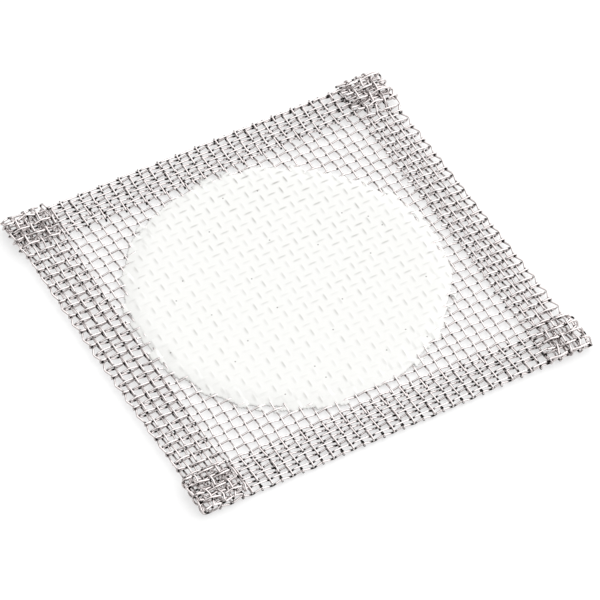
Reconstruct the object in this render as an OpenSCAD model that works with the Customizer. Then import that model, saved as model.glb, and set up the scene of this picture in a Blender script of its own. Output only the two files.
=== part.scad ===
// Wire gauze: a square of woven steel wire cloth with folded hems and a round ceramic centre.
// The underside of the ceramic lies on z = 0, and the square is centred on the origin.

/* [Wire cloth] */
// Width of the folded square, left to right
side_x = 125; // [110:1:180]
// Depth of the folded square, front to back
side_y = 125; // [110:1:180]
// Diameter of the wire
wire_d = 0.6; // [0.4:0.05:0.8]
// Spacing of the wires from middle to middle, the same both ways
pitch = 3.28; // [2.6:0.01:4]

/* [Hems] */
// Width of the left hem
hem_left = 14.5; // [8:0.1:20]
// Width of the right hem
hem_right = 12.8; // [8:0.1:20]
// Width of the front hem
hem_front = 13.5; // [8:0.1:20]
// Width of the back hem
hem_back = 14.6; // [8:0.1:20]
// Height lost where the four layers at a corner nest into each other
corner_nest = 0.6; // [0:0.1:1]

/* [Ceramic centre] */
// Diameter of the ceramic
ceramic_d = 94; // [60:1:98]
// Distance of the ceramic from the middle of the square, to the right
ceramic_x = -0.6; // [-2:0.1:2]
// Distance of the ceramic from the middle of the square, to the back
ceramic_y = 0.6; // [-2:0.1:2]
// Height by which the ceramic stands proud of the cloth, on each face
ceramic_proud = 0.4; // [0.2:0.05:0.8]
// Width over which the rim of the ceramic slopes down to the cloth
rim_w = 0.5; // [0.2:0.1:2]
// Radius of the ring of meshes through which the two faces of the ceramic are joined
key_ring_r = 30; // [10:1:40]

/* [Openings] */
// Meshes of the cloth, each way, that one opening stands for
grid_meshes = 3; // [2:1:6]
// Width of the cloth left between two openings
grid_bar = 1.6; // [1:0.1:3]
// Width of the cloth left between the ceramic and an opening
ceramic_margin = 0.8; // [0.2:0.1:2]

/* [Hidden] */
$fn = 96;
KEYS = 8;

// Heights: one layer of cloth is two wires thick
layer_t = 2 * wire_d;
cloth_z = ceramic_proud;
field_top = cloth_z + layer_t;
hem_top = cloth_z + 2 * layer_t;
corner_top = cloth_z + 4 * layer_t - corner_nest;
hem_valley = cloth_z + wire_d;

// At a corner, the cut ends of the top layers reach this far over the cloth beside them
cut_end = wire_d;

// The cloth lies flat as far as the lines where its edges start to bend
bend_x = side_x / 2 - layer_t;
bend_y = side_y / 2 - layer_t;

// Inner edges of the hems
left_edge = hem_left - side_x / 2;
right_edge = side_x / 2 - hem_right;
front_edge = hem_front - side_y / 2;
back_edge = side_y / 2 - hem_back;

// Left and right, and front and back limits of the hems
SIDES = [[-bend_x, left_edge], [right_edge, bend_x]];
ENDS = [[-bend_y, front_edge], [back_edge, bend_y]];

// Left and right limits of the corners
CORNER_SIDES = SIDES + [[0, cut_end], [-cut_end, 0]];

// Numbers of the wires that lie whole between -a and a
function wires(a) = [-floor((a - wire_d / 2) / pitch) : floor((a - wire_d / 2) / pitch)];

// Height of woven cloth at x: a crest on each wire and a valley halfway to the next
function woven_z(x, top, valley) = top - (top - valley) * 2 * abs(x / pitch - round(x / pitch));

// Section across the wires that lie side by side from a to b
module wire_row(a, b, top, valley) {
    kinks = [
        for (k = [floor(2 * a / pitch) : ceil(2 * b / pitch)])
            if (k * pitch / 2 > a + 0.01 && k * pitch / 2 < b - 0.01) k * pitch / 2
    ];
    face = [for (x = concat([a], kinks, [b])) [x, woven_z(x, top, valley)]];
    polygon(concat(face, [[b, cloth_z], [a, cloth_z]]));
}

// Woven cloth over the rectangle from x[0] to x[1] and from y[0] to y[1]:
// the wires that run front to back, crossed by those that run left to right
module woven(x, y, top, valley) {
    translate([0, y[1], 0])
        rotate([90, 0, 0])
            linear_extrude(y[1] - y[0])
                wire_row(x[0], x[1], top, valley);
    translate([x[0], 0, 0])
        rotate([90, 0, 90])
            linear_extrude(x[1] - x[0])
                wire_row(y[0], y[1], top, valley);
}

// Single layer inside the hems
module field() {
    translate([left_edge, front_edge, cloth_z])
        cube([right_edge - left_edge, back_edge - front_edge, layer_t]);
}

// Edges folded over onto the upper face: two layers, and four where they cross at a corner
module hems() {
    for (x = SIDES)
        woven(x, [front_edge, back_edge], hem_top, hem_valley);
    for (y = ENDS)
        woven([left_edge, right_edge], y, hem_top, hem_valley);
    for (x = CORNER_SIDES, y = ENDS)
        woven(x, y, corner_top, hem_top);
}

// One wire bent round an edge of the cloth, from the height z0 to z1, bulging towards +X
module wire_loop(z0, z1) {
    r = (z1 - z0) / 2;
    rotate([90, 0, 0])
        linear_extrude(wire_d, center = true)
            polygon([[0, z0], [r, z0 + r / 2], [r, z1 - r / 2], [0, z1]]);
}

// Loops along the left and right edges. These edges are folded last, so they wrap the corners whole
module side_loops() {
    for (k = wires(bend_y), side = [0, 1]) {
        y = k * pitch;
        mirror([side, 0, 0])
            translate([bend_x, y, 0])
                wire_loop(cloth_z, y > front_edge && y < back_edge ? hem_top : corner_top);
    }
}

// Loops along the front and back edges, one above the other at the corners
module end_loops() {
    for (k = wires(bend_x), side = [-1, 1]) {
        x = k * pitch;
        translate([x, side * bend_y, 0])
            rotate(side * 90) {
                wire_loop(cloth_z, hem_top);
                if (x < left_edge || x > right_edge)
                    wire_loop(hem_top, corner_top);
            }
    }
}

// Opening of the mesh with the given number each way, from z0 to z1
module mesh(number, z0, z1) {
    translate([number[0] * pitch + wire_d / 2, number[1] * pitch + wire_d / 2, z0])
        cube([pitch - wire_d, pitch - wire_d, z1 - z0]);
}

// Numbers of the first and last wires that an opening between a and b can reach
function first_wire(a) = ceil((a + wire_d - grid_bar / 2) / pitch);
function last_wire(b) = floor((b - wire_d + grid_bar / 2) / pitch);

// Limits of the openings that lie side by side between a and b
function openings(a, b) = [
    for (k = [floor(first_wire(a) / grid_meshes) : ceil(last_wire(b) / grid_meshes) - 1])
        let (low = max(k * grid_meshes, first_wire(a)), high = min((k + 1) * grid_meshes, last_wire(b)))
            if (high - low > 1) [low * pitch + grid_bar / 2, high * pitch - grid_bar / 2]
];

// One opening through the cloth, with the given limits
module opening(x, y) {
    translate([x[0], y[0], 0])
        cube([x[1] - x[0], y[1] - y[0], corner_top]);
}

// Openings in the hems
module hem_openings() {
    for (hem = SIDES, x = openings(hem[0], hem[1]), y = openings(front_edge, back_edge))
        opening(x, y);
    for (hem = ENDS, x = openings(left_edge, right_edge), y = openings(hem[0], hem[1]))
        opening(x, y);
}

// Openings between the ceramic and the hems, those that reach well clear of the ceramic
module field_openings() {
    clear_r = ceramic_d / 2 + ceramic_margin;
    difference() {
        for (x = openings(left_edge, right_edge), y = openings(front_edge, back_edge))
            if (max([for (a = x, b = y) norm([a - ceramic_x, b - ceramic_y])]) > clear_r + 1.5 * grid_bar)
                opening(x, y);
        translate([ceramic_x, ceramic_y, 0])
            cylinder(h = corner_top, r = clear_r);
    }
}

// Meshes through which the two faces of the ceramic are joined
KEY_MESHES = [
    for (n = [0 : KEYS - 1]) [
        floor((ceramic_x + key_ring_r * cos(n * 360 / KEYS)) / pitch),
        floor((ceramic_y + key_ring_r * sin(n * 360 / KEYS)) / pitch)
    ]
];

// One sheet of woven wire with its four edges folded over
module wire_cloth() {
    color("silver")
        difference() {
            union() {
                field();
                hems();
                side_loops();
                end_loops();
            }
            hem_openings();
            field_openings();
            for (number = KEY_MESHES)
                mesh(number, 0, corner_top);
        }
}

// Ceramic on one face of the cloth, with its rim sloping down to the wires
module ceramic_face() {
    cylinder(h = ceramic_proud, d1 = ceramic_d, d2 = ceramic_d - 2 * rim_w);
}

// Ceramic on both faces of the cloth, pressed through its meshes
module ceramic_centre() {
    color("white") {
        translate([ceramic_x, ceramic_y, field_top])
            ceramic_face();
        translate([ceramic_x, ceramic_y, cloth_z])
            mirror([0, 0, 1])
                ceramic_face();
        for (number = KEY_MESHES)
            mesh(number, cloth_z, field_top);
    }
}

wire_cloth();
ceramic_centre();
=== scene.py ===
"""Wire gauze: a square of woven steel wire with four folded hems and a round ceramic centre.

Every wire is swept along its own path through the weave, the hems and the corners. The ceramic is one
mesh whose relief follows the wires that it covers. Inside the functions, lengths are in millimetres.
"""

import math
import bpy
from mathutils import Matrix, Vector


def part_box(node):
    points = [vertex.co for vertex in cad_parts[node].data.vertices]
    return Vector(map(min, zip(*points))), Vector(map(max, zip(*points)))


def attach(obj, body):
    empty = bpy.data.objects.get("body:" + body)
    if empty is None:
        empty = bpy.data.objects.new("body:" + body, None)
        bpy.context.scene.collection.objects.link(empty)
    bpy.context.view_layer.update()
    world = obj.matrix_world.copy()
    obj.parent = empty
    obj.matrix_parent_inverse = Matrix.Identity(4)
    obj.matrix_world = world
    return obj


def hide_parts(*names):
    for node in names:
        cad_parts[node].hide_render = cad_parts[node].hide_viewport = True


bl_info = {
    "name": "Wire Gauze",
    "version": (1, 0, 0),
    "blender": (4, 5, 0),
    "location": "View3D > Sidebar > Wire Gauze",
    "description": "A square of woven steel wire with folded hems and a round ceramic centre",
    "category": "Add Mesh",
}

import bpy
import numpy as np
from mathutils import Matrix, Vector

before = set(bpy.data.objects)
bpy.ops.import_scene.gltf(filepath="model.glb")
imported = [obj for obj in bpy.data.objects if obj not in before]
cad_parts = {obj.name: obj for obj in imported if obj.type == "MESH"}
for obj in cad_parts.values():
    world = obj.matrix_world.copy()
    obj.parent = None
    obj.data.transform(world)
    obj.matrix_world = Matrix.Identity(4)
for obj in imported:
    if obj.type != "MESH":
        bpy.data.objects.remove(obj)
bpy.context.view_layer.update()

MM = 0.001
CLOTH_LOW, CLOTH_HIGH = (np.array(corner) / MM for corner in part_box("wire_cloth"))
DISC_LOW, DISC_HIGH = (np.array(corner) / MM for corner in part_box("ceramic_centre"))


# ---------------------------------------------------------------- sizes and colours


def linear(hex_colour):
    """Linear RGB of an sRGB hex colour."""
    channels = [int(hex_colour[k : k + 2], 16) / 255 for k in (1, 3, 5)]
    return tuple(c / 12.92 if c <= 0.04045 else ((c + 0.055) / 1.055) ** 2.4 for c in channels)


def length(name, description, mm):
    return bpy.props.FloatProperty(
        name=name, description=description, default=mm * MM, unit="LENGTH", precision=5
    )


def angle(name, description, degrees):
    return bpy.props.FloatProperty(
        name=name, description=description, default=math.radians(degrees), subtype="ANGLE"
    )


def direction(name, description, towards):
    return bpy.props.FloatVectorProperty(
        name=name, description=description, default=towards, subtype="DIRECTION"
    )


def colour(name, description, hex_colour):
    return bpy.props.FloatVectorProperty(
        name=name, description=description, default=linear(hex_colour), subtype="COLOR", min=0, max=1
    )


def share(name, description, value):
    return bpy.props.FloatProperty(
        name=name, description=description, default=value, subtype="FACTOR", min=0, max=2
    )


def brightness(name, description, value):
    return bpy.props.FloatProperty(name=name, description=description, default=value, min=0)


def seed(description, value):
    return bpy.props.IntProperty(name="Seed", description=description, default=value, min=0)


class WireSettings(bpy.types.PropertyGroup):
    """The woven cloth: its wire, its weave and its hems."""

    diameter: length("Wire diameter", "Thickness of the wire", 0.6)
    pitch_x: length("Pitch across", "Spacing of the wires that run front to back", 3.219)
    pitch_y: length("Pitch along", "Spacing of the wires that run left to right", 3.285)
    first_x: length("First wire across", "Place of the middle wire that runs front to back", 2.40)
    first_y: length("First wire along", "Place of the middle wire that runs left to right", 1.13)
    bow_x: length("Bow", "How far the wires that run front to back bow to the left near their ends", 1.3)
    hem_left: length("Left hem", "Width of the left hem", 14.5)
    hem_right: length("Right hem", "Width of the right hem", 12.8)
    hem_front: length("Front hem", "Width of the front hem", 13.5)
    hem_back: length("Back hem", "Width of the back hem", 14.6)
    slide_left: length("Slide, left", "How far the left flap slid in when it was folded", -0.7)
    slide_right: length("Slide, right", "How far the right flap slid in when it was folded", 0.9)
    slide_front: length("Slide, front", "How far the front flap slid in when it was folded", 0.15)
    slide_back: length("Slide, back", "How far the back flap slid in when it was folded", -0.7)
    skew: length("Skew", "How far the wires of the flaps are pulled sideways in the corners", 1.3)
    drawn: share("Drawn in", "How far a wire next to a fold is drawn into its middle", 0.7)
    nest: length("Nest", "How deep the two layers of a hem settle into each other", 0.3)
    pressing_sides: share("Pressing, sides", "How flat the wires lie in the left and right hems", 0.25)
    pressing_ends: share("Pressing, ends", "How flat the wires lie in the front and back hems", 0.9)
    kink: share("Kink", "How much deeper the crimp is in a wire that lies in a fold", 1.3)
    bulge: length("Bulge", "How far the thick corners stand out beyond the hems", 0.3)
    wander: length("Wander", "How far a wire strays sideways from its line", 0.10)
    tangle: length("Tangle", "How much further the wires stray in a corner", 0.22)
    # Painted shade on the hidden layers of a corner
    hidden_layer_shade: share("Hidden_layer_shade", "How much residue the hidden layers of a corner keep", 0.08)
    steel: colour("Steel", "Colour of the bare wire", "#d8d1d0")
    # Colour of the painted shade where a wire passes under another and in the hidden layers of a corner
    painted_shade: colour("Painted_shade", "Colour of the old grease and dust where wires cross", "#1f1b19")
    seed: seed("Chooses how the wires stray", 7)


class CeramicSettings(bpy.types.PropertyGroup):
    """The ceramic centre: its outline, its relief and its colours."""

    ragged: length("Ragged edge", "How far the edge steps in and out from mesh to mesh", 1.3)
    crown: length("Crown height", "Height of the ridge over each wire that nearly shows through", 0.12)
    rim: length("Rim", "Width over which the rim is rounded", 0.8)
    taper: length("Taper", "Width over which the ceramic thins out towards its edge", 7.0)
    thinning: length("Thinning", "How much lower than its middle the ceramic's face is at the edge", 0.78)
    body: colour("Ceramic", "Colour of the fired ceramic", "#dbdbd9")
    # Colour both of the wire showing through the ceramic and of the painted shade on the ridges over the
    # wires that run front to back
    stain_and_shade: colour("Stain", "Colour where the wire shows through the thin ceramic", "#7f7c78")
    speck: colour("Speck", "Colour of the specks from the kiln", "#4a4642")
    seed: seed("Chooses the steps of the ragged edge", 3)


class StageSettings(bpy.types.PropertyGroup):
    """The floor, the lights and the camera."""

    floor: colour("Floor", "Colour of the floor", "#a0a0a0")
    glow: brightness("Glow", "Brightness of the light from under the floor", 0.60)
    tent: brightness("Tent", "Brightness of the tent", 1.65)
    lit_side: share("Lit side", "How much brighter the tent is on the right than on the left", 0.6)
    front_gap: direction("Front gap", "Direction of the gap at the front", (-0.42, -0.81, 0.42))
    front_width: angle("Front gap's width", "Half the angle of the gap at the front", 32)
    back_gap: direction("Back gap", "Direction of the gap at the back", (0.05, 0.98, 0.2))
    back_width: angle("Back gap's width", "Half the angle of the gap at the back", 24)
    focal_length: bpy.props.FloatProperty(
        name="Focal length", description="Focal length of the camera's lens", default=284.6, unit="CAMERA"
    )
    azimuth: angle("Azimuth", "Turn of the camera round the gauze", -28.88)
    elevation: angle("Elevation", "Height of the camera above the floor", 48.48)
    roll: angle("Roll", "Turn of the camera about its own axis", -0.397)
    distance: length("Distance", "Distance from the camera to what it looks at", 1362.8)
    aim_x: length("Aim across", "How far to the right of the middle the camera looks", -0.416)
    aim_y: length("Aim along", "How far to the back of the middle the camera looks", -4.681)


# ---------------------------------------------------------------- the folded weave

# The wires lie a little off an even grid. This says how far, for a wire that is EDGE_WIRE wires from the
# middle: UNEVEN_X as a share of the bow, and the others in millimetres
EDGE_WIRE = 20
UNEVEN_X = 0.45
UNEVEN_Y = 0.35
BOW_Y = 0.25
SLANT_Y = 0.3
# Rounds in which the number of a wire is found from its place
ROUNDS = 4

# In wire diameters: half the width of the slope up to a hem, the width over which a flap's slide and skew
# come to their full size, and how far off a fold draws in the wires beside it
HEM_SLOPE = 2.5
RUN_IN = 4
DRAWN_REACH = 2.2
# Skew of the front and back flaps, as a share of that of the left and right ones
END_SKEW = 0.8
# How far inside the fold a corner starts to bulge, in meshes
BULGE_REACH = 1.5
# Middle of the four layers in a corner, counted up from the lowest
STACK_MIDDLE = 1.5

# The crimp: how much sharper than a plain wave it is, the share of the kink that a wire going round the
# fold has taken off, how late a pressed wire dips, and the share of the pressing that a corner loses
SHARPNESS = 0.28
ROUND_FOLD = 0.5
FLATNESS = 8
CORNER_LOFT = 0.8

# How far a cut end may fall short of the cut and stand beyond it, in millimetres
CUT_SHORT = 0.6
CUT_LONG = 0.3
# Meshes between the places where a wire strays most, and how far it strays up in a corner, as a share of
# how far it strays sideways
WANDER_MESHES = 2.2
TANGLE_RISE = 0.15

# Steps of a wire's path in each mesh: between the hems, in a hem and in a fold. A fold's steps go on for
# FOLD_RUN_OUT wire diameters past it, and a step shorter than SHORTEST_STEP meshes is left out
STEPS_PER_MESH = 8
STEPS_PER_HEM_MESH = 12
STEPS_PER_FOLDED_MESH = 24
FOLD_RUN_OUT = 3
SHORTEST_STEP = 0.02
# Rise that shows which way is outward from the cloth
PROBE = 0.01
# A wire's tube is a little wider than the wire, to make up for its flat sides
WIRE_SIDES = 8
TUBE_ALLOWANCE = 1.02

# Painted shade under a crossing wire, in wire diameters: how far it reaches from the middle of the crossing,
# how much further in the left and right hems and in the front and back ones, and over what width it ends
SHADE_REACH = 1.1333
WIDER_IN_SIDES = 0.4667
WIDER_IN_ENDS = 0.8
SHADE_FADE = 0.6667
# How dark the painted shade is in the middle of a crossing, where 1 already hides the steel
SHADE_STRENGTH = 1.25
# Share of its extra reach that it loses in a corner, and of its strength that is taken off in a fold
CORNER_LOSS = 0.7
FOLD_SHADE_LOSS = 0.7
# Painted shade on the third layer of a corner, as a share of that on the two under it
THIRD_LAYER = 0.25


def smooth_step(t):
    """From 0 to 1 as t goes from 0 to 1, level at both ends."""
    t = np.clip(t, 0, 1)
    return t * t * (3 - 2 * t)


class Weave:
    """Where each point of the flat, woven sheet lies once the hems are folded. Axis 0 runs left to right,
    and axis 1 front to back."""

    def __init__(self, wire):
        self.d = wire.diameter / MM
        self.layer = 2 * self.d
        self.pitch = np.array([wire.pitch_x, wire.pitch_y]) / MM
        self.first = np.array([wire.first_x, wire.first_y]) / MM
        self.bow = wire.bow_x / MM
        slides = [[wire.slide_left, wire.slide_right], [wire.slide_front, wire.slide_back]]
        self.slides = np.array(slides) / MM
        self.skew = wire.skew / MM
        self.drawn = wire.drawn
        self.nest = wire.nest / MM
        self.pressing_sides = wire.pressing_sides
        self.pressing_ends = wire.pressing_ends
        self.kink = wire.kink
        self.bulge = wire.bulge / MM
        self.wander = wire.wander / MM
        self.tangle = wire.tangle / MM
        self.hidden_layer_shade = wire.hidden_layer_shade
        self.low = CLOTH_LOW[2]
        # The corners bulge to the left and right, so the depth gives the side of the square
        half = (CLOTH_HIGH[1] - CLOTH_LOW[1]) / 2
        self.bend = np.array([half - self.layer] * 2)
        # Length of the sheet that goes into one fold
        self.arc = math.pi * self.d
        hems = np.array([[wire.hem_left, wire.hem_right], [wire.hem_front, wire.hem_back]]) / MM
        self.edges = (half - hems) * (-1, 1)
        # Flat places of the cut edges: the hem's width past the fold
        self.cuts = (2 * self.bend[:, None] + self.arc) * (-1, 1) - self.edges
        # Four layers at a corner, each nested a little into the next
        self.corner_layer = (CLOTH_HIGH[2] - CLOTH_LOW[2] - self.layer) / 3

    def flat(self, i, j):
        """Flat place of the crossing of wire i, front to back, and wire j, left to right."""
        u, v = i / EDGE_WIRE, j / EDGE_WIRE
        x = self.first[0] + self.pitch[0] * i - self.bow * (UNEVEN_X * u**2 + v**2)
        y = self.first[1] + self.pitch[1] * j + SLANT_Y * u + BOW_Y * u**2 + UNEVEN_Y * v**2
        return x, y

    def number_at(self, axis, place, other):
        """Number along an axis, with the number of the wire across it, at which the sheet reaches a place."""
        k = (place - self.first[axis]) / self.pitch[axis]
        for _ in range(ROUNDS):
            here = self.flat(k, other)[0] if axis == 0 else self.flat(other, k)[1]
            k = k + (place - here) / self.pitch[axis]
        return k

    def in_hem(self, axis, a):
        """From 0 at a place between the two hems across an axis to 1 in a hem, with a slope at its edge."""
        low, high = self.edges[axis]
        past = np.maximum(low - a, a - high) / (HEM_SLOPE * self.d)
        return smooth_step((past + 1) / 2)

    def in_corner(self, x, y):
        """From 0 to 1 where two hems cross."""
        return self.in_hem(0, x) * self.in_hem(1, y)

    def past_bend(self, axis, a):
        """How far a flat place on an axis lies past the line where the sheet starts to bend."""
        return np.abs(a) - self.bend[axis]

    def in_fold(self, axis, a):
        """From 0 outside the folds of an axis to 1 in the middle of one."""
        return np.sin(np.clip(self.past_bend(axis, a) / self.arc, 0, 1) * math.pi)

    def skewed(self, x, y):
        """Flat places once the flaps are pulled askew in the corners and have slid in."""
        pull_x, pull_y = (
            np.clip(self.past_bend(axis, a) / (RUN_IN * self.d), 0, 1) for axis, a in enumerate((x, y))
        )
        y = y - np.sign(y) * self.skew * pull_x * self.in_hem(1, y)
        x = x + END_SKEW * self.skew * pull_y * self.in_hem(0, x)
        return self.slid(0, x), self.slid(1, y)

    def slid(self, axis, a):
        """Flat places on an axis once its flaps have slid in and its folds have drawn in the wires there."""
        past = self.past_bend(axis, a)
        flap = np.clip((past - self.arc) / (RUN_IN * self.d), 0, 1)
        off = past - self.arc / 2
        drawn = self.drawn * off * np.exp(-((off / (DRAWN_REACH * self.d)) ** 2))
        return a + np.sign(a) * (flap * np.where(a < 0, *self.slides[axis]) - drawn)

    def crimp(self, axis, over, x, y):
        """Height of a wire above the middle of its layer. Over is 1 on top of a wire that it crosses and -1
        under one. A pressed hem's wires lie flat on top and dip only just before they pass under another."""
        places = (x, y)
        kinked = self.in_fold(1 - axis, places[1 - axis]) - ROUND_FOLD * self.in_fold(axis, places[axis])
        waved = over * (1 - SHARPNESS + SHARPNESS * over**2) * (1 + self.kink * kinked)
        # A layer folded once lies upside down, and one folded twice lies upright again
        beyond = [np.clip((self.past_bend(n, a) - self.arc) / self.d, 0, 1) for n, a in enumerate(places)]
        up = (1 - 2 * beyond[0]) * (1 - 2 * beyond[1])
        pressed = up * (1 - 2 * ((1 - up * over) / 2) ** FLATNESS)
        pressing = np.maximum(self.pressing_sides * beyond[0], self.pressing_ends * beyond[1])
        pressing = pressing * (1 - CORNER_LOFT * self.in_corner(x, y))
        return self.d / 2 * (waved * (1 - pressing) + pressed * pressing)

    def fold(self, a, z, axis, centre, arc):
        """Folds what lies past the bends of an axis over, about lines at the height centre."""
        past = self.past_bend(axis, a)
        turn = np.clip(past / arc, 0, 1) * math.pi
        radius = centre - z
        folded = self.bend[axis] + radius * np.sin(turn) - np.maximum(past - arc, 0)
        a = np.sign(a) * np.where(past > 0, folded, np.abs(a))
        return a, np.where(past > 0, centre - radius * np.cos(turn), z)

    def place(self, x, y, w):
        """Place of a point at x, y on the flat sheet and w above its middle, after both pairs of folds."""
        z = self.low + self.d + w
        # Front and back edges first
        corner = self.in_hem(0, x)
        hem_step = self.layer - self.nest
        step = hem_step + corner * (self.corner_layer - hem_step)
        y, z = self.fold(y, z, 1, self.low + self.d + step / 2, self.arc)
        # Then the left and right ones, which wrap the corners whole
        corner = self.in_hem(1, y)
        hem_middle = self.low + self.d + hem_step / 2
        stack_middle = self.low + self.d + STACK_MIDDLE * self.corner_layer
        centre = hem_middle + corner * (stack_middle - hem_middle)
        x, z = self.fold(x, z, 0, centre, self.arc + corner * self.d)
        near_fold = np.clip(self.past_bend(0, x) / self.pitch[0] + BULGE_REACH, 0, 1)
        return np.stack([x + np.sign(x) * self.bulge * corner * near_fold, y, z], -1)


def smooth_noise(rng, at, spacing):
    """Smooth random curve of about unit size through knots this far apart, at these places."""
    spare_knots = 4
    knots = rng.normal(size=int((at.max() - at.min()) / spacing) + spare_knots)
    k = (at - at.min()) / spacing
    n = np.floor(k).astype(int)
    t = smooth_step(k - n)
    return knots[n] * (1 - t) + knots[n + 1] * t


def path_steps(weave, axis, number, low, high):
    """Numbers of the steps along a wire from one cut end to the other, where whole ones are crossings."""
    first, last = (weave.number_at(axis, cut, number) for cut in (low, high))
    edges = [weave.number_at(axis, edge, number) for edge in weave.edges[axis]]
    per_mesh = (STEPS_PER_HEM_MESH, STEPS_PER_MESH, STEPS_PER_HEM_MESH)
    steps = []
    for a, b, count in zip((first, *edges), (*edges, last), per_mesh):
        steps += list(np.arange(math.ceil(a * count), b * count) / count)
    start = weave.bend[axis] - weave.d
    end = weave.bend[axis] + weave.arc + FOLD_RUN_OUT * weave.d
    for side in (-1, 1):
        a, b = sorted(weave.number_at(axis, side * place, number) for place in (start, end))
        steps = [k for k in steps if not a <= k <= b]
        steps += list(np.linspace(a, b, int((b - a) * STEPS_PER_FOLDED_MESH)))
    k = np.array(sorted([first, *steps, last]))
    return k[np.concatenate([[True], np.diff(k) > SHORTEST_STEP])]


def painted_shade(weave, axis, parity, k, sheet, laid):
    """How dark the painted shade is along a wire, from 0 to 1: it lies where the wire passes under another,
    and a little way out from there. Sheet and laid are flat places before and after the flaps have moved."""
    in_corner = weave.in_corner(*sheet)
    in_sides, in_ends = (weave.in_hem(n, a) for n, a in enumerate(laid))
    wider = np.maximum(WIDER_IN_SIDES * in_sides, WIDER_IN_ENDS * in_ends) * (1 - CORNER_LOSS * in_corner)
    out = np.abs(k - np.round(k)) * weave.pitch[axis] / weave.d
    near = np.clip((SHADE_REACH + wider - out) / SHADE_FADE, 0, 1)
    # A flap that is folded once has its upper side down
    side_flap, end_flap = (weave.past_bend(n, a) > weave.arc / 2 for n, a in enumerate(laid))
    turned = np.where(side_flap != end_flap, -1, 1)
    under = turned * parity * (-1.0) ** np.round(k) < 0
    fold_kept = 1 - FOLD_SHADE_LOSS * weave.in_fold(axis, sheet[axis])
    # Painted shade darkens the two lowest layers of a corner fully, the third in part, and the top one not at
    # all
    hidden_layer_shade = weave.hidden_layer_shade * in_corner * np.where(side_flap, np.where(end_flap, THIRD_LAYER, 0.0), 1.0)
    return np.clip(np.maximum(SHADE_STRENGTH * near * under * fold_kept, hidden_layer_shade), 0, 1)


def wire_path(weave, axis, number, rng):
    """Centre line of one wire along an axis, with the direction that is outward from the cloth and the
    strength of the painted shade, at each step."""
    low, high = weave.cuts[axis] + rng.uniform(-CUT_SHORT, CUT_LONG, 2) * (-1, 1)
    k = path_steps(weave, axis, number, low, high)
    own = np.full_like(k, number)
    sheet = weave.flat(k, own) if axis == 0 else weave.flat(own, k)
    # 1 for a wire that lies on top at its even crossings, and -1 for one that lies on top at its odd ones
    parity = (-1) ** (number + 1 - axis)
    w = weave.crimp(axis, parity * np.cos(math.pi * k), *sheet)
    along = sheet[axis]
    in_corner = weave.in_corner(*sheet)
    # In a flap the wires are looser
    stray = weave.wander * smooth_noise(rng, along, WANDER_MESHES * weave.pitch[axis])
    stray = stray * (1 + np.clip(weave.past_bend(axis, along) / weave.layer, 0, 1))
    stray = stray + weave.tangle * in_corner * smooth_noise(rng, along, weave.pitch[axis])
    w = w + TANGLE_RISE * weave.tangle * in_corner * smooth_noise(rng, along, weave.pitch[axis])
    x, y = sheet
    laid = weave.skewed(x, y + stray) if axis == 0 else weave.skewed(x + stray, y)
    centre = weave.place(*laid, w)
    rise = weave.place(*laid, w + PROBE) - centre
    outward = rise / np.linalg.norm(rise, axis=1, keepdims=True)
    return centre, outward, painted_shade(weave, axis, parity, k, sheet, laid)


def tube(centre, outward, radius):
    """Rings of points round a path, and the faces that join them and close the ends."""
    tangent = np.gradient(centre, axis=0)
    tangent /= np.linalg.norm(tangent, axis=1, keepdims=True)
    side = np.cross(tangent, outward)
    side /= np.linalg.norm(side, axis=1, keepdims=True)
    up = np.cross(side, tangent)
    turn = np.arange(WIRE_SIDES) * 2 * math.pi / WIRE_SIDES
    ring = radius * (np.cos(turn)[None, :, None] * side[:, None] + np.sin(turn)[None, :, None] * up[:, None])
    points = (centre[:, None] + ring).reshape(-1, 3)
    n = len(centre)
    a = np.arange((n - 1) * WIRE_SIDES)
    b = a // WIRE_SIDES * WIRE_SIDES + (a + 1) % WIRE_SIDES
    quads = np.stack([a, b, b + WIRE_SIDES, a + WIRE_SIDES], -1)
    caps = [list(range(WIRE_SIDES))[::-1], list(range((n - 1) * WIRE_SIDES, n * WIRE_SIDES))]
    return points, quads, caps


def wires(weave, axis):
    """Numbers of the wires that run along an axis, from cut edge to cut edge of the other one."""
    across = 1 - axis
    low, high = weave.cuts[across]
    first = math.ceil(weave.number_at(across, low + weave.d, 0))
    last = math.floor(weave.number_at(across, high - weave.d, 0))
    return range(first, last + 1)


def add_mesh(name, points_mm, faces, floats):
    """Mesh object from points in millimetres, with named numbers on its points."""
    mesh = bpy.data.meshes.new(name)
    mesh.from_pydata(points_mm * MM, [], faces)
    for label, values in floats.items():
        attribute = mesh.attributes.new(label, "FLOAT", "POINT")
        attribute.data.foreach_set("value", np.asarray(values, np.float32))
    mesh.shade_smooth()
    piece = bpy.data.objects.new(name, mesh)
    bpy.context.scene.collection.objects.link(piece)
    return piece


def make_wires(name, weave, axis, numbers, rng):
    """One piece: the wires with these numbers."""
    points, faces, tones, crossing_shades = [], [], [], []
    start = 0
    for number in numbers:
        centre, outward, crossing_shade = wire_path(weave, axis, number, rng)
        ring_points, quads, caps = tube(centre, outward, weave.d / 2 * TUBE_ALLOWANCE)
        points.append(ring_points)
        faces += (quads + start).tolist()
        faces += [[v + start for v in cap] for cap in caps]
        tones.append(np.full(len(ring_points), rng.uniform()))
        crossing_shades.append(np.repeat(crossing_shade, WIRE_SIDES))
        start += len(ring_points)
    floats = {"tone": np.concatenate(tones), "crossing_shade": np.concatenate(crossing_shades)}
    return add_mesh(name, np.concatenate(points), faces, floats)


# ---------------------------------------------------------------- the ceramic

# Outline against the plain disc, in millimetres: its middle is moved, it is a little larger, and it is out
# of round by a part with two lobes and one with three, each turned by an angle in radians
DISC_SHIFT = (-0.8, 0.8)
DISC_GROWTH = 0.5
TWO_LOBES = 0.5
TWO_LOBES_TURN = 2.3
THREE_LOBES = 0.35
THREE_LOBES_TURN = 0.2
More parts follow.
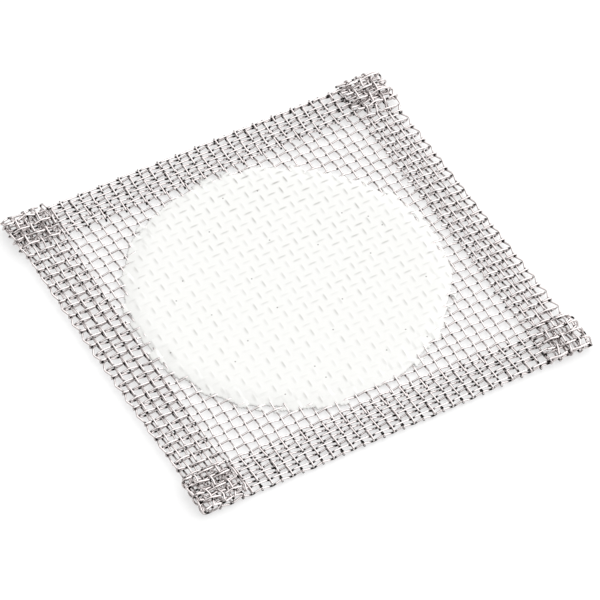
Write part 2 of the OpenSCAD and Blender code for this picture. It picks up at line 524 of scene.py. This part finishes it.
# Ridge over a wire on top at a crossing: half its width and half its length, in meshes
RIDGE_HALF_WIDTH = 0.08
RIDGE_HALF_LENGTH = 0.38
# Share of the ceramic's height that the rounded rim takes away at the very edge
RIM_DROP = 0.9
# How strongly the wires show through, from 0 to 1: in the middle, how much more for each millimetre to the
# right and to the back, the least and the most, and the least for those that run front to back, which is
# painted shade for the side of their ridges that faces away from the light
SHOWING = 0.34
SHOWING_RISE_X = 0.006
SHOWING_RISE_Y = 0.008
SHOWING_LIMITS = (0.10, 0.75)
LENGTHWISE_RIDGE_SHADE = 0.45
# Strength of the faintest crossing, as a share of the strongest
FAINTEST = 0.25
# Random numbers are drawn for this many meshes each way, more than the ceramic spans
TABLE = 64
CERAMIC_STEPS_PER_MESH = 8


def ceramic_edge(x, y, weave, settings, rng):
    """How far inside the ragged edge of the ceramic each point lies."""
    centre = (DISC_LOW + DISC_HIGH)[:2] / 2 + DISC_SHIFT
    radius = (DISC_HIGH[0] - DISC_LOW[0]) / 2 + DISC_GROWTH
    dx, dy = x - centre[0], y - centre[1]
    turn = np.arctan2(dy, dx)
    outline = radius + TWO_LOBES * np.cos(2 * (turn - TWO_LOBES_TURN))
    outline = outline + THREE_LOBES * np.cos(3 * (turn + THREE_LOBES_TURN))
    i = np.floor((x - weave.first[0]) / weave.pitch[0]).astype(int) % TABLE
    j = np.floor((y - weave.first[1]) / weave.pitch[1]).astype(int) % TABLE
    steps = rng.uniform(-1, 1, (TABLE, TABLE))
    return outline + settings.ragged / MM * steps[i, j] - np.hypot(dx, dy)


def ridge(across, along):
    """Height of the ridge over a wire, from 0 to 1, at these distances from the crossing, in meshes."""
    return np.exp(-((across / RIDGE_HALF_WIDTH) ** 2)) * np.exp(-((along / RIDGE_HALF_LENGTH) ** 4))


def closed_shell(x, y, top, low, keep):
    """Points and faces of a closed mesh over the kept points of a grid: two faces and the wall between."""
    quad = keep[:-1, :-1] & keep[1:, :-1] & keep[1:, 1:] & keep[:-1, 1:]
    index = np.arange(x.size).reshape(x.shape)
    corners = (index[:-1, :-1], index[1:, :-1], index[1:, 1:], index[:-1, 1:])
    top_faces = np.stack([corner[quad] for corner in corners], -1)
    low_faces = top_faces[:, ::-1] + x.size
    # The wall stands on the edges that only one quad has
    edges = np.concatenate([top_faces[:, pair] for pair in ([0, 1], [1, 2], [2, 3], [3, 0])])
    known = set(map(tuple, edges.tolist()))
    start, end = np.array([edge for edge in known if edge[::-1] not in known]).T
    wall = np.stack([end, start, start + x.size, end + x.size], -1)
    points = np.concatenate([np.stack([x, y, z], -1).reshape(-1, 3) for z in (top, low)])
    return points, np.concatenate([top_faces, low_faces, wall])


def make_ceramic(weave, settings):
    """One closed mesh: two faces with the weave's relief, and the rim between them."""
    rng = np.random.default_rng(settings.seed)
    n = CERAMIC_STEPS_PER_MESH
    spare_meshes = 2
    reach = math.ceil((DISC_HIGH[0] - DISC_LOW[0]) / 2 / weave.pitch[0]) + spare_meshes
    k = np.arange(-reach * n, reach * n + 1) / n
    i, j = np.meshgrid(k, k, indexing="ij")
    x, y = weave.flat(i, j)
    inside = ceramic_edge(x, y, weave, settings, rng)
    # At each crossing, the top face has a ridge over the wire that is on top there, and the underside has one
    # over the other wire. At an even crossing the wire that runs front to back is on top
    crossing = np.round(i).astype(int), np.round(j).astype(int)
    di, dj = i - crossing[0], j - crossing[1]
    even = (crossing[0] + crossing[1]) % 2 == 0
    ridge_top = np.where(even, ridge(di, dj), ridge(dj, di))
    ridge_low = np.where(even, ridge(dj, di), ridge(di, dj))
    fall = 1 - np.sqrt(1 - (1 - np.clip(inside / (settings.rim / MM), 0, 1)) ** 2)
    thin = settings.thinning / MM * np.clip(1 - inside / (settings.taper / MM), 0, 1) ** 2
    middle = weave.low + weave.d
    crest = DISC_HIGH[2] - middle - thin
    crown = settings.crown / MM
    top = middle + (crest - crown * (1 - ridge_top)) * (1 - RIM_DROP * fall)
    low = middle - (crest - crown * (1 - ridge_low)) * (1 - RIM_DROP * fall)
    points, faces = closed_shell(x, y, top, low, inside > 0)
    showing = np.clip(SHOWING + SHOWING_RISE_Y * y + SHOWING_RISE_X * x, *SHOWING_LIMITS)
    # Painted shade: the stain over the wires that run front to back is kept at least this dark to paint the
    # shaded sides of their ridges
    showing = np.where(even, np.maximum(showing, LENGTHWISE_RIDGE_SHADE), showing)
    strength = rng.uniform(FAINTEST, 1.0, (TABLE, TABLE))[crossing[0] % TABLE, crossing[1] % TABLE] * showing
    stain_and_shade = np.concatenate([(ridge_top * strength).ravel(), (ridge_low * strength).ravel()])
    used, place = np.unique(faces, return_inverse=True)
    return add_mesh("ceramic_disc", points[used], place.reshape(faces.shape).tolist(), {"stain_and_shade": stain_and_shade[used]})


# ---------------------------------------------------------------- materials

# Number of the Mix node's output that holds a colour
MIXED_COLOUR = 2


def node(tree, kind, inputs=(), **settings):
    """Adds a node with its settings. Inputs give a value, or another node's output, for each socket."""
    made = tree.nodes.new(kind)
    for key, value in settings.items():
        setattr(made, key, value)
    for socket, value in dict(inputs).items():
        if isinstance(value, bpy.types.NodeSocket):
            tree.links.new(value, made.inputs[socket])
        else:
            made.inputs[socket].default_value = value
    return made


def new_material(name):
    """Empty material, its node tree and its output node."""
    material = bpy.data.materials.new(name)
    material.use_nodes = True
    tree = material.node_tree
    tree.nodes.clear()
    return material, tree, node(tree, "ShaderNodeOutputMaterial")


def drawn_steel(settings):
    """Mild steel wire, drawn through a die and woven without polish. The die leaves fine marks that blur
    the highlight a little, and a thin grey film that differs from place to place and from wire to wire."""
    material, tree, output = new_material("drawn_steel_wire")
    place = node(tree, "ShaderNodeTexCoord").outputs["Object"]
    # The film, in clouds about 2 mm wide and one tone for each wire, darkens the steel by up to a seventh
    film_size = 2.0 * MM
    film_share = 0.86
    cloud = node(tree, "ShaderNodeTexNoise", {"Vector": place, "Scale": 1 / film_size, "Detail": 3.0})
    tone = node(tree, "ShaderNodeAttribute", attribute_name="tone").outputs["Fac"]
    both = node(tree, "ShaderNodeMath", {0: cloud.outputs["Fac"], 1: tone}, operation="ADD").outputs[0]
    bare = node(tree, "ShaderNodeMapRange", {"Value": both, "From Min": 0.4, "From Max": 1.6})
    steel = np.array(settings.steel)
    body = node(
        tree,
        "ShaderNodeMix",
        {"Factor": bare.outputs["Result"], "A": (*(steel * film_share), 1), "B": (*steel, 1)},
        data_type="RGBA",
    ).outputs[MIXED_COLOUR]
    # Painted shade: the steel is darkened where the wire passes under another and in the hidden layers of a
    # corner
    crossing_shade = node(tree, "ShaderNodeAttribute", attribute_name="crossing_shade").outputs["Fac"]
    body = node(
        tree,
        "ShaderNodeMix",
        {"Factor": crossing_shade, "A": body, "B": (*settings.painted_shade, 1)},
        data_type="RGBA",
    ).outputs[MIXED_COLOUR]
    # The die's marks are a few hundredths of a millimetre wide, and are drawn coarser so that they show
    mark_size = 0.15 * MM
    mark_depth = 0.02 * MM
    marks = node(tree, "ShaderNodeTexNoise", {"Vector": place, "Scale": 1 / mark_size, "Detail": 2.0})
    marks = marks.outputs["Fac"]
    roughness = node(tree, "ShaderNodeMapRange", {"Value": marks, "To Min": 0.06, "To Max": 0.14})
    bump = node(tree, "ShaderNodeBump", {"Height": marks, "Strength": 0.15, "Distance": mark_depth})
    shader = node(
        tree,
        "ShaderNodeBsdfPrincipled",
        {
            "Base Color": body,
            "Metallic": 1.0,
            "Roughness": roughness.outputs["Result"],
            "Normal": bump.outputs["Normal"],
        },
    )
    tree.links.new(shader.outputs[0], output.inputs["Surface"])
    return material


def fired_ceramic(settings):
    """Porous white ceramic, pressed on as a paste and fired without glaze. It is chalky and even, with a
    faint stain where a wire lies just under the surface, painted shade on the ridges over the wires that run
    front to back, and a few dark specks from the kiln."""
    material, tree, output = new_material("fired_unglazed_ceramic")
    place = node(tree, "ShaderNodeTexCoord").outputs["Object"]
    stain_and_shade = node(tree, "ShaderNodeAttribute", attribute_name="stain_and_shade").outputs["Fac"]
    body = node(
        tree,
        "ShaderNodeMix",
        {"Factor": stain_and_shade, "A": (*settings.body, 1), "B": (*settings.stain_and_shade, 1)},
        data_type="RGBA",
    ).outputs[MIXED_COLOUR]
    # Specks, about one in each square of 16 mm, dark for 0.13 mm from their middle and gone at 0.32 mm
    speck_spacing = 16
    speck_core = 0.128
    speck_edge = 0.32
    speck = node(
        tree,
        "ShaderNodeTexVoronoi",
        {"Vector": place, "Scale": 1 / (speck_spacing * MM)},
        voronoi_dimensions="2D",
    )
    speck = node(
        tree,
        "ShaderNodeMapRange",
        {
            "Value": speck.outputs["Distance"],
            "From Min": speck_core / speck_spacing,
            "From Max": speck_edge / speck_spacing,
            "To Min": 0.7,
            "To Max": 0.0,
        },
    )
    body = node(
        tree,
        "ShaderNodeMix",
        {"Factor": speck.outputs["Result"], "A": body, "B": (*settings.speck, 1)},
        data_type="RGBA",
    ).outputs[MIXED_COLOUR]
    # Grain of the fired paste
    grain_size = 0.5 * MM
    grain_depth = 0.06 * MM
    grain = node(tree, "ShaderNodeTexNoise", {"Vector": place, "Scale": 1 / grain_size, "Detail": 4.0})
    bump = node(
        tree,
        "ShaderNodeBump",
        {"Height": grain.outputs["Fac"], "Strength": 0.25, "Distance": grain_depth},
    )
    shader = node(
        tree,
        "ShaderNodeBsdfPrincipled",
        {
            "Base Color": body,
            "Roughness": 0.9,
            "Specular IOR Level": 0.25,
            "Normal": bump.outputs["Normal"],
        },
    )
    tree.links.new(shader.outputs[0], output.inputs["Surface"])
    return material


def opal_acrylic(settings):
    """Opal acrylic sheet, cast, with a satin face and a lamp under it. The light that comes up through it
    keeps it pale between the wires, and its pigment clouds it very faintly."""
    material, tree, output = new_material("opal_acrylic_sheet")
    place = node(tree, "ShaderNodeTexCoord").outputs["Object"]
    cloud_size = 90 * MM
    cloud_share = 0.985
    cloud = node(tree, "ShaderNodeTexNoise", {"Vector": place, "Scale": 1 / cloud_size}).outputs["Fac"]
    clear = node(tree, "ShaderNodeMapRange", {"Value": cloud, "From Min": 0.3, "From Max": 0.7})
    floor = np.array(settings.floor)
    body = node(
        tree,
        "ShaderNodeMix",
        {"Factor": clear.outputs["Result"], "A": (*(floor * cloud_share), 1), "B": (*floor, 1)},
        data_type="RGBA",
    ).outputs[MIXED_COLOUR]
    shader = node(
        tree,
        "ShaderNodeBsdfPrincipled",
        {
            "Base Color": body,
            "Roughness": 0.6,
            "Specular IOR Level": 0.2,
            "Emission Color": (1, 1, 1, 1),
            "Emission Strength": settings.glow,
        },
    )
    tree.links.new(shader.outputs[0], output.inputs["Surface"])
    return material


# ---------------------------------------------------------------- pieces


def settle(piece, material, replaced):
    """Gives a piece its material, says what it rides on, and hides the part that it stands for."""
    piece.data.materials.append(material)
    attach(piece, "root")
    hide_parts(replaced)


class GAUZE_OT_wires(bpy.types.Operator):
    """Weave the wires, fold the hems and cut the ends"""

    bl_idname = "gauze.wires"
    bl_label = "Weave Wires"

    def execute(self, context):
        settings = context.scene.gauze_wire
        weave = Weave(settings)
        rng = np.random.default_rng(settings.seed)
        material = drawn_steel(settings)
        halves = {
            1: ("wires_lengthwise_left", "wires_lengthwise_right"),
            0: ("wires_crosswise_front", "wires_crosswise_back"),
        }
        for axis, names in halves.items():
            numbers = list(wires(weave, axis))
            half = len(numbers) // 2
            for name, group in zip(names, (numbers[:half], numbers[half:])):
                piece = make_wires(name, weave, axis, group, rng)
                settle(piece, material, "wire_cloth")
        return {"FINISHED"}


class GAUZE_OT_ceramic(bpy.types.Operator):
    """Press the ceramic into the middle of the weave"""

    bl_idname = "gauze.ceramic"
    bl_label = "Press Ceramic"

    def execute(self, context):
        weave = Weave(context.scene.gauze_wire)
        settings = context.scene.gauze_ceramic
        piece = make_ceramic(weave, settings)
        settle(piece, fired_ceramic(settings), "ceramic_centre")
        return {"FINISHED"}


# ---------------------------------------------------------------- the stage

# Half the side of the floor, in metres
FLOOR_REACH = 3.0
# Sine of the angle to the right at which the tent is brightest, and to the left at which it is darkest
LIT_REACH = 0.8
# The skirt of the tent, near the floor, is darker: its share of the brightness, and the sines of the angles
# above the floor at which it ends and at which the full brightness starts
SKIRT_SHARE = 0.5
SKIRT_TOP = 0.18
TENT_BOTTOM = 0.34
# Share of the light that is left in a gap, and the angle over which it fades on each side of the gap's edge
GAP_SHARE = 0.03
GAP_BLUR = math.radians(8)


def soft_studio(settings):
    """White tent all round, brighter on the right, with a dark gap at the front and one at the back."""
    world = bpy.data.worlds.new("soft_studio")
    world.use_nodes = True
    tree = world.node_tree
    towards = node(tree, "ShaderNodeTexCoord").outputs["Generated"]
    way = node(tree, "ShaderNodeSeparateXYZ", {0: towards}).outputs
    strength = node(
        tree,
        "ShaderNodeMapRange",
        {
            "Value": way["X"],
            "From Min": -LIT_REACH,
            "From Max": LIT_REACH,
            "To Min": settings.tent * (1 - settings.lit_side),
            "To Max": settings.tent * (1 + settings.lit_side),
        },
    ).outputs["Result"]
    skirt = node(
        tree,
        "ShaderNodeMapRange",
        {"Value": way["Z"], "From Min": SKIRT_TOP, "From Max": TENT_BOTTOM, "To Min": SKIRT_SHARE},
        interpolation_type="SMOOTHSTEP",
    ).outputs["Result"]
    strength = node(tree, "ShaderNodeMath", {0: strength, 1: skirt}, operation="MULTIPLY").outputs[0]
    front, back = (settings.front_gap, settings.front_width), (settings.back_gap, settings.back_width)
    for gap, width in (front, back):
        facing = node(
            tree,
            "ShaderNodeVectorMath",
            {0: towards, 1: Vector(gap).normalized()},
            operation="DOT_PRODUCT",
        )
        left = node(
            tree,
            "ShaderNodeMapRange",
            {
                "Value": facing.outputs["Value"],
                "From Min": math.cos(width + GAP_BLUR),
                "From Max": math.cos(width - GAP_BLUR),
                "To Min": 1.0,
                "To Max": GAP_SHARE,
            },
            interpolation_type="SMOOTHSTEP",
        ).outputs["Result"]
        strength = node(tree, "ShaderNodeMath", {0: strength, 1: left}, operation="MULTIPLY").outputs[0]
    background = tree.nodes["Background"]
    background.inputs["Color"].default_value = (1, 1, 1, 1)
    tree.links.new(strength, background.inputs["Strength"])
    return world


def lay_floor(scene, settings):
    """A square of opal acrylic under the gauze."""
    mesh = bpy.data.meshes.new("floor")
    corners = [(x * FLOOR_REACH, y * FLOOR_REACH, 0) for x, y in ((-1, -1), (1, -1), (1, 1), (-1, 1))]
    mesh.from_pydata(corners, [], [(0, 1, 2, 3)])
    mesh.materials.append(opal_acrylic(settings))
    floor = bpy.data.objects.new("floor", mesh)
    scene.collection.objects.link(floor)


def set_camera(scene, settings):
    """A long lens, far enough away that the square keeps its shape."""
    back = Vector((
        math.sin(settings.azimuth) * math.cos(settings.elevation),
        -math.cos(settings.azimuth) * math.cos(settings.elevation),
        math.sin(settings.elevation),
    ))
    target = Vector((settings.aim_x, settings.aim_y, 0))
    turn = (-back).to_track_quat("-Z", "Y").to_matrix() @ Matrix.Rotation(settings.roll, 3, "Z")
    camera = bpy.data.objects.new("camera", bpy.data.cameras.new("camera"))
    camera.data.lens = settings.focal_length
    camera.matrix_world = Matrix.Translation(target + back * settings.distance) @ turn.to_4x4()
    scene.collection.objects.link(camera)
    scene.camera = camera


class GAUZE_OT_stage(bpy.types.Operator):
    """Lay the floor, hang the lights and set the camera"""

    bl_idname = "gauze.stage"
    bl_label = "Set Stage"

    def execute(self, context):
        scene, settings = context.scene, context.scene.gauze_stage
        lay_floor(scene, settings)
        scene.world = soft_studio(settings)
        set_camera(scene, settings)
        scene.view_settings.view_transform = "Standard"
        return {"FINISHED"}


# ---------------------------------------------------------------- the add-on


class GAUZE_PT_panel(bpy.types.Panel):
    """Sizes and colours of the gauze, with a button for each part of it"""

    bl_idname = "GAUZE_PT_panel"
    bl_label = "Wire Gauze"
    bl_space_type = "VIEW_3D"
    bl_region_type = "UI"
    bl_category = "Wire Gauze"

    def draw(self, context):
        groups = {
            "gauze.wires": context.scene.gauze_wire,
            "gauze.ceramic": context.scene.gauze_ceramic,
            "gauze.stage": context.scene.gauze_stage,
        }
        for button, group in groups.items():
            box = self.layout.box()
            for name in group.__annotations__:
                box.prop(group, name)
            box.operator(button)


GROUPS = {"gauze_wire": WireSettings, "gauze_ceramic": CeramicSettings, "gauze_stage": StageSettings}
CLASSES = (*GROUPS.values(), GAUZE_OT_wires, GAUZE_OT_ceramic, GAUZE_OT_stage, GAUZE_PT_panel)


def register():
    for each in CLASSES:
        bpy.utils.register_class(each)
    for name, group in GROUPS.items():
        setattr(bpy.types.Scene, name, bpy.props.PointerProperty(type=group))


def unregister():
    for name in GROUPS:
        delattr(bpy.types.Scene, name)
    for each in reversed(CLASSES):
        bpy.utils.unregister_class(each)


def main():
    register()
    bpy.ops.gauze.stage()
    bpy.ops.gauze.wires()
    bpy.ops.gauze.ceramic()


if __name__ == "__main__":
    main()
